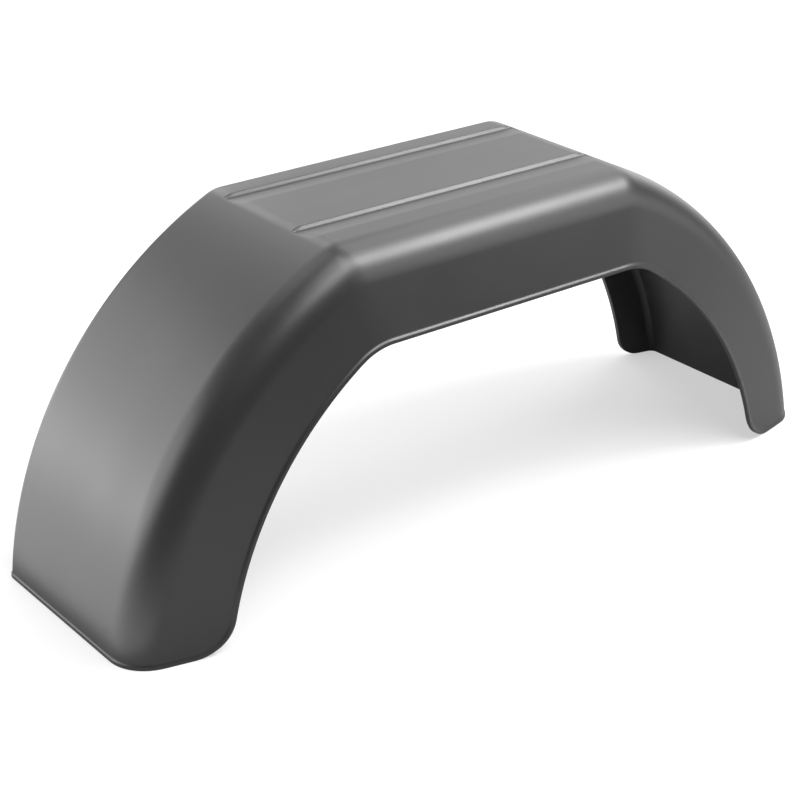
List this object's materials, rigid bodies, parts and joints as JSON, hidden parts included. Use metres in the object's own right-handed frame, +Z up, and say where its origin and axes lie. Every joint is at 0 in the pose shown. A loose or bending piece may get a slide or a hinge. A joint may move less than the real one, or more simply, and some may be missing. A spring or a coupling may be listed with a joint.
{
  "type": "trailer mudguard",
  "caption": "Moulded wheel arch cover with a flat deck, curved legs, a deep wall on the road side and a low wall on the trailer side.",
  "frame": {"origin": "bottom centre of the bounding box, on the plane that both feet end on", "axes": "+X towards the front leg, -X towards the rear leg, -Y the open road side with the deep wall, +Y the trailer side with the low wall, +Z up through the deck"},
  "size_m": [0.6904, 0.2161, 0.2724],
  "materials": {
    "moulded_polypropylene": "satin, finely grained as it leaves the mould"
  },
  "bodies": {
    "root": {"mudguard": "moulded_polypropylene"}
  },
  "joints": []
}
